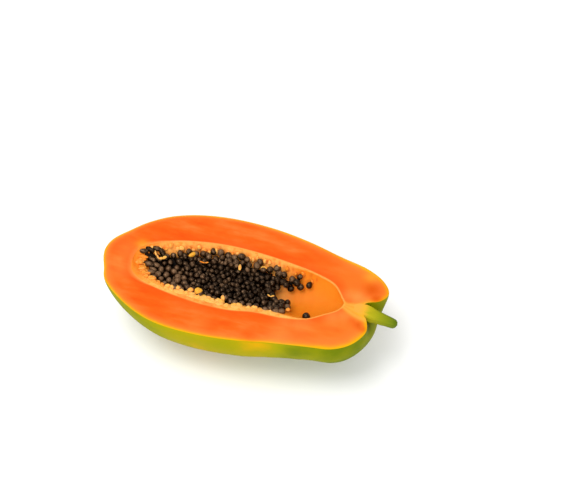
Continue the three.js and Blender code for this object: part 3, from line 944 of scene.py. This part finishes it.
class PAPAYA_OT_fruit(bpy.types.Operator):
    """Builds the flesh with its skin, the flat cut face and the open seed cavity"""

    bl_idname = "papaya.fruit"
    bl_label = "Flesh and Skin"

    def execute(self, context):
        settings = context.scene.papaya
        sizes = settings.fruit
        ridge = sizes.ridge_height / MM
        skin_height = sizes.skin_unevenness / MM
        wall_height = sizes.wall_unevenness / MM

        def skin(along, angle):
            at = uneven_skin(skin_point(along, angle, ridge), skin_height)
            return placed(at.x, at.y, max(at.z, 0.0))

        def wall(along, angle):
            at = uneven_wall(cavity_point(along, angle), angle, wall_height)
            return placed(*at)

        bm = bmesh.new()
        for name in FLESH_MARKS:
            bm.verts.layers.float.new(name)
        skin_rim = bend_half_ball(bm, SKIN, skin)
        wall_rim = bend_half_ball(bm, LINING, wall)
        skin_points = [v.co / MM for e in skin_rim for v in e.verts]
        wall_points = [v.co / MM for e in wall_rim for v in e.verts]
        rims = skin_rim + wall_rim
        for side in (1, -1):
            edges = [e for e in rims if side * (e.verts[0].co + e.verts[1].co).y > 0]
            bridge = bmesh.ops.bridge_loops(bm, edges=edges)
            for face in bridge["faces"]:
                face.material_index = FLESH
        across = {e for f in bm.faces if f.material_index == FLESH for e in f.edges} - set(rims)
        bmesh.ops.subdivide_edges(bm, edges=list(across), cuts=FACE_CUTS, use_grid_fill=True)
        bmesh.ops.recalc_face_normals(bm, faces=bm.faces)
        mark_flesh(bm, skin_points, wall_points)
        for edge in bm.edges:
            materials = {f.material_index for f in edge.link_faces}
            edge.smooth = not (FLESH in materials and len(materials) > 1)
        if any(not e.is_manifold for e in bm.edges):
            raise RuntimeError("the fruit's surface is open")
        colours = settings.colours
        finish_piece(
            "papaya_flesh_and_skin", bm,
            [skin_material(colours), flesh_material(colours), lining_material(colours)],
            ["fruit_half"],
        )
        return {"FINISHED"}


def wall_lump(x, y, radius, sunk, lean, long, tall, tone):
    """One lump of pulp on the cavity's wall, in millimetres. It is sunk by a share of its
    radius, and long and tall are shares of it too."""
    depth = max(wall_depth(x, y) - sunk * radius, 0.9 * radius * tall)
    return (x, y, depth, (radius * long, radius, radius * tall), lean, tone)


NEAR_EDGE_POINTS = 12  # of the seeds' edge along the wall, from the stem end
ROOT_BEHIND = 3.9
SPARSE_FROM = 4  # the near teeth are fewer and smaller from here to the stem


def near_lumps(sizes, rng):
    """Ragged teeth of pulp along the near seeds, each with a root in the shelf behind it."""
    edge = [at for at in curve_points(SEED_EDGE_WALL[:NEAR_EDGE_POINTS], 200) if at.x < 45]
    mean = sizes.radius / MM
    lumps = []
    last = edge[0]
    for at in edge:
        sparse = at.x > SPARSE_FROM
        gap = sizes.near_pitch / MM * (1.9 if sparse else rng.uniform(0.6, 1.9))
        if (at - last).length < gap:
            continue
        last = at
        at_blossom = at.x < -60
        radius = mean * rng.uniform(0.7, 1.4) * (0.7 if sparse or at_blossom else 1.0)
        reach = rng.uniform(-3.2, 0.3)
        lean = rng.uniform(-0.8, 0.8)
        tone = rng.uniform(0.3, 0.95) * (0.2 if at_blossom else 1.0)
        long = rng.uniform(0.75, 1.3)
        sunk = 0.6 if at.x < -48 else 0.2
        lumps.append(wall_lump(at.x, at.y + reach, radius, sunk, lean, long, 1.0, tone))
        lumps.append(
            wall_lump(at.x, at.y - ROOT_BEHIND, radius * 1.2, 0.75, lean, 1.5, 0.8, tone * 0.8)
        )
    return lumps


# Towards the stem the far teeth are darker and sink into the wall: the share of their tone
# and how deep they are sunk, up to each place along the fruit
FAR_STRETCHES = ((10, 1.0, 0.35), (25, 0.6, 0.7), (55, 0.1, 0.9))
FAR_START, FAR_SPARSE_FROM, FAR_SMALL_FROM, FAR_END = -80.0, 10, 30, 55


def far_lumps(sizes, rng):
    """Teeth of pulp between the seeds, hanging down the far wall."""
    mean = sizes.radius / MM
    lumps = []
    x = FAR_START
    while x < FAR_END:
        far = on_spline(CAVITY_SECTIONS, cavity_share(x), full_ends=True)[0]
        _, shade, sunk = next(stretch for stretch in FAR_STRETCHES if x < stretch[0])
        radius = mean * rng.uniform(0.7, 1.15) * (0.8 if x > FAR_SMALL_FROM else 1.0)
        tone = rng.uniform(0.1, 0.7) * shade
        reach = rng.uniform(2.2, 4.6)
        lean = rng.uniform(-0.3, 0.3)
        tall = rng.uniform(1.0, 1.5)
        lumps.append(wall_lump(x, far - reach, radius, sunk, lean, 0.9, tall, tone))
        sparse = 1.5 if x > FAR_SPARSE_FROM else 1.0
        x += sizes.far_pitch / MM * rng.uniform(0.6, 1.5) * sparse
    return lumps


CORD_ROWS = 10
CORD_SPAN = (-17.0, 4.5)  # across the blossom end


def blossom_cords(rng):
    """The short cords that held the last seeds at the blossom end, along the fruit."""
    lumps = []
    for row in range(CORD_ROWS):
        y = mix(*CORD_SPAN, row / (CORD_ROWS - 1)) + rng.uniform(-0.5, 0.5)
        x = -85.5 + 0.04 * (y - 3) ** 2 + rng.uniform(-1.2, 1.2)
        if rim_distance(x, y) < 0.6:
            continue
        long = rng.uniform(2.0, 3.2)
        lean = 0.25 + rng.uniform(-0.2, 0.2)
        lumps.append(wall_lump(x, y, 1.5, 0.8, lean, long, 0.9, rng.uniform(0.0, 0.3)))
    return lumps


class PAPAYA_OT_pulp(bpy.types.Operator):
    """Builds the lumps of torn pulp on the cavity's wall and among the seeds"""

    bl_idname = "papaya.pulp"
    bl_label = "Pulp"

    def execute(self, context):
        settings = context.scene.papaya
        sizes = settings.pulp
        rng = random.Random(sizes.seed)
        bm = bmesh.new()
        tone_of = bm.verts.layers.float.new("tone")
        lumps = near_lumps(sizes, rng) + far_lumps(sizes, rng) + blossom_cords(rng)
        for x, y, depth, radius, long, tall, lean, tone in SCRAPS:
            lumps.append((x, y, depth, (radius * long, radius, radius * tall), lean, tone))
        balls = many_balls(bm, len(lumps), LUMP_STEPS)
        for ball, (x, y, depth, radii, lean, tone) in zip(balls, lumps):
            radii = [r * MM * rng.uniform(0.9, 1.1) for r in radii]
            turn = (rng.uniform(-0.3, 0.3), rng.uniform(-0.3, 0.3), lean)
            shape_lump(ball, placed(x, y, CUT - depth), radii, turn, 0.3, rng)
            keep_under(ball, CUT)
            for vert in ball:
                vert[tone_of] = tone
        finish_piece("papaya_pulp_nubs", bm, [pulp_material(settings.colours)])
        return {"FINISHED"}


# Larger scraps of pulp among the seeds: along, across, depth, radius, how long and how
# tall for that radius, turn, and tone
SCRAPS = (
    (-47.3, -19.4, 2.6, 2.3, 0.9, 1.0, 0.3, 0.55),
    (-37.5, -18.6, 2.7, 2.1, 1.3, 0.8, 0.9, 0.35),
    (-31.3, -17.4, 2.6, 2.6, 1.3, 0.9, 0.9, 1.0),
    (-10.3, -19.2, 2.8, 2.4, 0.8, 1.1, 0.2, 0.7),
    (-13.3, -22.6, 2.3, 2.2, 1.2, 0.8, 0.4, 0.65),
    (-27.0, -24.0, 2.0, 2.0, 1.4, 0.7, 0.3, 0.6),
    (-46.4, 15.6, 1.9, 1.8, 2.3, 1.0, 1.0, 1.0),
    (-75.8, 9.9, 3.0, 0.8, 3.2, 0.9, -1.0, 0.75),
    (-73.0, 6.8, 3.0, 0.8, 2.8, 0.9, -0.95, 0.75),
    (-70.2, 5.9, 3.2, 1.0, 1.8, 0.9, 0.5, 0.8),
    (-67.5, 7.6, 3.2, 1.2, 1.7, 0.9, 0.7, 0.85),
    (-37.0, 11.6, 3.9, 0.6, 3.6, 0.8, 0.0, 0.0),
    (-33.4, 12.2, 3.9, 0.6, 2.6, 0.8, 0.3, 0.1),
    (23.6, -5.5, 4.6, 0.6, 3.0, 0.8, -0.5, 0.8),
    (26.4, -5.2, 4.6, 0.6, 3.0, 0.8, 0.7, 0.8),
    (-6.5, 14.8, 4.0, 1.4, 2.4, 0.9, 1.8, 0.7),
    (12.1, 19.1, 4.6, 2.0, 1.3, 0.8, 0.3, 0.9),
    (41.9, -15.7, 3.0, 1.6, 1.2, 0.8, 0.5, 0.12),
    (4.8, -23.6, 2.0, 1.8, 1.2, 0.8, 0.6, 0.8),
    (16.1, -21.4, 2.2, 2.0, 1.3, 0.8, 0.3, 0.5),
)


def seed_lattice(pitch, layer, rng):
    """Uneven rows of places for seeds, in millimetres."""
    row_step = pitch * math.sqrt(0.75)
    rows, columns = int(LATTICE_HALF_WIDTH / row_step), int(LATTICE_HALF_LENGTH / pitch)
    for row in range(-rows, rows + 1):
        for column in range(-columns, columns + 1):
            x = (column + (row % 2) / 2 + layer / 2) * pitch
            y = (row + layer / 3) * row_step
            yield x + rng.gauss(0, SEED_JITTER), y + rng.gauss(0, SEED_JITTER)


def is_inner(x, y):
    """Whether a seed lies among the smaller ones, in the middle and towards the stem."""
    return from_edge(x, y) > INNER_MARGIN and x > INNER_START + INNER_SLOPE * abs(y)


def seed_spots(sizes, rng):
    """Where the seeds lie, in an upper and a lower layer: x, y and depth in millimetres,
    and their size beside the outer seeds."""
    spots = []
    radius = sizes.radius / MM
    for x, y in PLACED_SEEDS:
        deepest = wall_depth(x, y) - SEED_WALL_GAP * radius
        spots.append((x, y, min(bed_depth(x, y, sizes), deepest), PLACED_SIZE))
    for layer in (0, 1):
        taken = PLACED_SEEDS if layer == 0 else ()
        outer = list(taken)
        for inner, share in ((False, 1.0), (True, sizes.inner_size)):
            radius = sizes.radius / MM * share
            for x, y in seed_lattice(sizes.pitch / MM * share, layer, rng):
                lift = rng.uniform(-SEED_LIFT, SEED_LIFT)
                least = layer * LAYER_INSET - SEED_OVERHANG
                if from_edge(x, y) < least or is_inner(x, y) != inner:
                    continue
                if not LATTICE_REACH[0] < x < LATTICE_REACH[1]:
                    continue
                near = outer if inner else taken
                if any(math.hypot(x - a, y - b) < SEED_GAP * radius for a, b in near):
                    continue
                if not inner:
                    outer.append((x, y))
                wall = wall_depth(x, y)
                depth = bed_depth(x, y, sizes) - lift + layer * LAYER_DROP
                if layer and depth > wall - radius:
                    continue
                spots.append((x, y, min(depth, wall - SEED_WALL_GAP * radius), share))
    return spots


def shape_seed(ball, tone, x, y, depth, radius, rng, shade_limit=1.0):
    """Makes a ball a seed: nearly round, but long and lying along the fruit at the blossom
    end. Its tone is lighter on the near side, at the blossom end and by the far wall, where
    more of its jelly is left, and darker in the deep middle as painted shade; its lit top
    gets a painted highlight."""
    pointed = smoothstep(-x, *POINTED_SEEDS)
    length = radius * mix(rng.uniform(1.0, 1.18), 1.6, pointed)
    girth = mix(1.0, 0.86, pointed) * radius
    radii = [girth * rng.uniform(0.88, 1.0) * MM for _ in range(2)] + [length * MM]
    lean = mix(rng.uniform(-1.5, 1.5), -1.5, pointed)
    centre = placed(x, y, CUT - depth)
    spin = rng.uniform(-0.3, 0.3) if pointed > 0.5 else rng.uniform(0, 6.2)
    turn = (rng.uniform(-0.6, 0.6) * (1 - pointed), lean, spin)
    towards_near = (1 - smoothstep(from_edge(x, y), 1, 10)) * smoothstep(-y, 0, 10)
    blossom_side = smoothstep(-x, 20, 60) * smoothstep(-y, -12, 4)
    # Painted shade: seeds in the deep middle stay darker, and those along the near side, at the
    # blossom end and by the far wall are lighter, partly from the jelly left on them
    jelly_and_painted_light = 0.64 * max(towards_near * 0.8, blossom_side, 0.7 * smoothstep(y, 12, 17))
    shade = min(shade_limit, jelly_and_painted_light + 0.5 * rng.random() ** 2.5)
    # A painted highlight on each seed's lit top, weaker towards the stem
    painted_highlight = TOP_HIGHLIGHT * mix(0.6, 1.5, blossom_side) * mix(1.0, 0.5, smoothstep(x, -25, 5))
    shape_lump(ball, centre, radii, turn, 0.14, rng)
    for vert in ball:
        lit_share = max(0.0, (vert.co - centre).normalized().dot(SEED_LIT_SIDE))
        vert[tone] = shade * mix(0.3, 1.0, lit_share) + painted_highlight * lit_share**6
    keep_under(ball, CUT - SEED_TOP_GAP)


def seed_bed(sizes):
    """A sheet under the seeds, inside their edge, with some thickness."""
    bm = bmesh.new()
    half_size = (BED_HALF_LENGTH * MM, BED_HALF_WIDTH * MM, 1)
    matrix = Matrix.LocRotScale(placed(BED_MIDDLE, 0, 0), None, half_size)
    columns, rows = BED_STEPS
    bmesh.ops.create_grid(bm, x_segments=columns, y_segments=rows, size=1.0, matrix=matrix)
    outside = []
    for vert in bm.verts:
        x, y = vert.co.x / MM + SPOT_X, vert.co.y / MM
        if from_edge(x, y) < BED_MARGIN:
            outside.append(vert)
            continue
        deepest = wall_depth(x, y) - BED_WALL_GAP
        vert.co.z = (CUT - min(bed_depth(x, y, sizes) + BED_DROP, deepest)) * MM
    bmesh.ops.delete(bm, geom=outside, context="VERTS")
    bmesh.ops.solidify(bm, geom=bm.faces, thickness=-BED_THICKNESS * MM)
    bmesh.ops.recalc_face_normals(bm, faces=bm.faces)
    return bm


class PAPAYA_OT_seeds(bpy.types.Operator):
    """Builds the heap of dark seeds, the bed under them and the seed that lies apart"""

    bl_idname = "papaya.seeds"
    bl_label = "Seeds"

    def execute(self, context):
        settings = context.scene.papaya
        sizes = settings.seeds
        rng = random.Random(sizes.seed)
        radius = sizes.radius / MM
        material = seed_material(settings.colours)
        bm = bmesh.new()
        tone = bm.verts.layers.float.new("tone")
        spots = seed_spots(sizes, rng)
        balls = many_balls(bm, len(spots), SEED_STEPS)
        for ball, (x, y, depth, share) in zip(balls, spots):
            shape_seed(ball, tone, x, y, depth, radius * share * rng.uniform(0.86, 1.12), rng)
        finish_piece("papaya_seeds", bm, [material], ["seed_mass"])
        finish_piece("papaya_seed_bed", seed_bed(sizes), [seed_bed_shade_material()])
        bm = bmesh.new()
        tone = bm.verts.layers.float.new("tone")
        low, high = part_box("stray_seed")
        middle = (low + high) / 2 / MM
        across, up = STRAY_SHIFT
        shape_seed(
            add_ball(bm, STRAY_STEPS), tone, middle.x + SPOT_X, middle.y + across,
            CUT - middle.z - up, STRAY_SIZE * radius, rng, shade_limit=STRAY_SHADE,
        )
        finish_piece("papaya_stray_seed", bm, [material], ["stray_seed"])
        return {"FINISHED"}


def stalk_radius(along):
    """The stalk's radius, which rounds off at both ends."""
    body = on_spline([(r, 0) for r in STEM_RADII], along).x
    root_end, tip_end = STEM_ENDS
    root = math.sqrt(max(0.0, 1 - (1 - min(1.0, along / root_end)) ** 2))
    tip = math.sqrt(max(0.0, 1 - (1 - min(1.0, (1 - along) / tip_end)) ** 2))
    return body * root * tip


def stalk_point(along, angle):
    """A point of the stalk, which bends from its root to its tip and has five ribs."""
    root, bend, tip = (Vector((x, y, CUT + z)) for x, y, z in (STEM_ROOT, STEM_BEND, STEM_TIP))
    at = root * (1 - along) ** 2 + bend * 2 * along * (1 - along) + tip * along**2
    ahead = ((bend - root) * (1 - along) + (tip - bend) * along).normalized()
    sideways = UPWARDS.cross(ahead).normalized()
    upwards = ahead.cross(sideways)
    ribs = 1 + 0.05 * math.cos(5 * angle) + 0.02 * math.cos(13 * angle + 1)
    wave = 1 + 0.05 * noise.noise(Vector((along * 6, math.cos(angle), math.sin(angle))))
    offset = sideways * math.cos(angle) + upwards * math.sin(angle)
    return placed(*(at + offset * stalk_radius(along) * ribs * wave))


class PAPAYA_OT_stem(bpy.types.Operator):
    """Builds the short stalk, cut flush with the cut face at its root"""

    bl_idname = "papaya.stem"
    bl_label = "Stem"

    def execute(self, context):
        settings = context.scene.papaya
        bm = bmesh.new()
        for vert in add_ball(bm, STEM_STEPS):
            vert.co = stalk_point(pole_share(vert.co), math.atan2(vert.co.y, vert.co.x))
        top = (CUT + STEM_PROUD) * MM
        bmesh.ops.bisect_plane(
            bm, geom=[*bm.verts, *bm.edges, *bm.faces], dist=1e-7,
            plane_co=(0, 0, top), plane_no=UPWARDS, clear_outer=True,
        )
        bmesh.ops.holes_fill(bm, edges=[e for e in bm.edges if e.is_boundary], sides=0)
        bmesh.ops.recalc_face_normals(bm, faces=bm.faces)
        for edge in bm.edges:
            if all(abs(v.co.z - top) < 1e-6 for v in edge.verts):
                edge.smooth = False
        finish_piece("papaya_stem", bm, [stem_material(settings.colours)], ["stem"])
        return {"FINISHED"}


class PAPAYA_OT_stage(bpy.types.Operator):
    """Adds the pale floor, the soft studio light and the camera"""

    bl_idname = "papaya.stage"
    bl_label = "Stage"

    def execute(self, context):
        scene = context.scene
        bm = bmesh.new()
        bmesh.ops.create_grid(bm, x_segments=1, y_segments=1, size=FLOOR_HALF_WIDTH)
        mesh = bpy.data.meshes.new("studio_floor")
        bm.to_mesh(mesh)
        bm.free()
        mesh.materials.append(floor_material())
        floor = bpy.data.objects.new("studio_floor", mesh)
        scene.collection.objects.link(floor)
        floor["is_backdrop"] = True
        for softbox in SOFTBOXES:
            self.add_light(scene, *softbox)
        world = bpy.data.worlds.new("studio_air")
        world.use_nodes = True
        air = world.node_tree.nodes["Background"].inputs
        air["Color"].default_value = srgb("#ffffff")
        air["Strength"].default_value = AIR_STRENGTH
        scene.world = world
        scene.view_settings.view_transform = "Standard"
        self.add_camera(scene)
        return {"FINISHED"}

    def add_light(self, scene, name, place, size, power):
        light = bpy.data.lights.new(name, "AREA")
        light.size = size
        light.energy = power
        made = bpy.data.objects.new(name, light)
        made.location = place
        ahead = LIT_POINT - Vector(place)
        made.rotation_euler = ahead.to_track_quat("-Z", "Y").to_euler()
        scene.collection.objects.link(made)

    def add_camera(self, scene):
        target = placed(*VIEW_CENTRE)
        level = math.cos(VIEW_RISE)
        across, along = math.sin(VIEW_TURN) * level, -math.cos(VIEW_TURN) * level
        back = Vector((across, along, math.sin(VIEW_RISE)))
        data = bpy.data.cameras.new("camera")
        data.lens = LENS
        data.sensor_width = SENSOR
        camera = bpy.data.objects.new("camera", data)
        camera.location = target + back * VIEW_DISTANCE * MM
        camera.rotation_euler = (-back).to_track_quat("-Z", "Y").to_euler()
        scene.collection.objects.link(camera)
        scene.camera = camera


class PAPAYA_PT_panel(bpy.types.Panel):
    """Lists the papaya's pieces and their sizes"""

    bl_idname = "PAPAYA_PT_panel"
    bl_label = "Halved Papaya"
    bl_space_type = "VIEW_3D"
    bl_region_type = "UI"
    bl_category = "Papaya"

    def draw(self, context):
        settings = context.scene.papaya
        for operator in OPERATORS:
            self.layout.operator(operator.bl_idname)
        for group in (settings.fruit, settings.seeds, settings.pulp, settings.colours):
            box = self.layout.box()
            for name in group.bl_rna.properties.keys():
                if name not in {"rna_type", "name"}:
                    box.prop(group, name)


OPERATORS = (PAPAYA_OT_stage, PAPAYA_OT_fruit, PAPAYA_OT_pulp, PAPAYA_OT_seeds, PAPAYA_OT_stem)
CLASSES = (
    FruitSizes, SeedSizes, PulpSizes, PapayaColours, PapayaSettings, *OPERATORS,
    PAPAYA_PT_panel,
)


def register():
    for cls in CLASSES:
        bpy.utils.register_class(cls)
    bpy.types.Scene.papaya = PointerProperty(type=PapayaSettings)


def unregister():
    del bpy.types.Scene.papaya
    for cls in reversed(CLASSES):
        bpy.utils.unregister_class(cls)


def write_sizes():
    """Puts the frame's box and the finished model's box side by side, and keeps neither."""
    boxes = {"cad": CAD_BOX, "visual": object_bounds()}
    {name: [list(corner) for corner in box] for name, box in boxes.items()}


def main():
    register()
    bpy.ops.papaya.stage()
    bpy.ops.papaya.fruit()
    bpy.ops.papaya.pulp()
    bpy.ops.papaya.seeds()
    bpy.ops.papaya.stem()
    write_sizes()


if __name__ == "__main__":
    main()
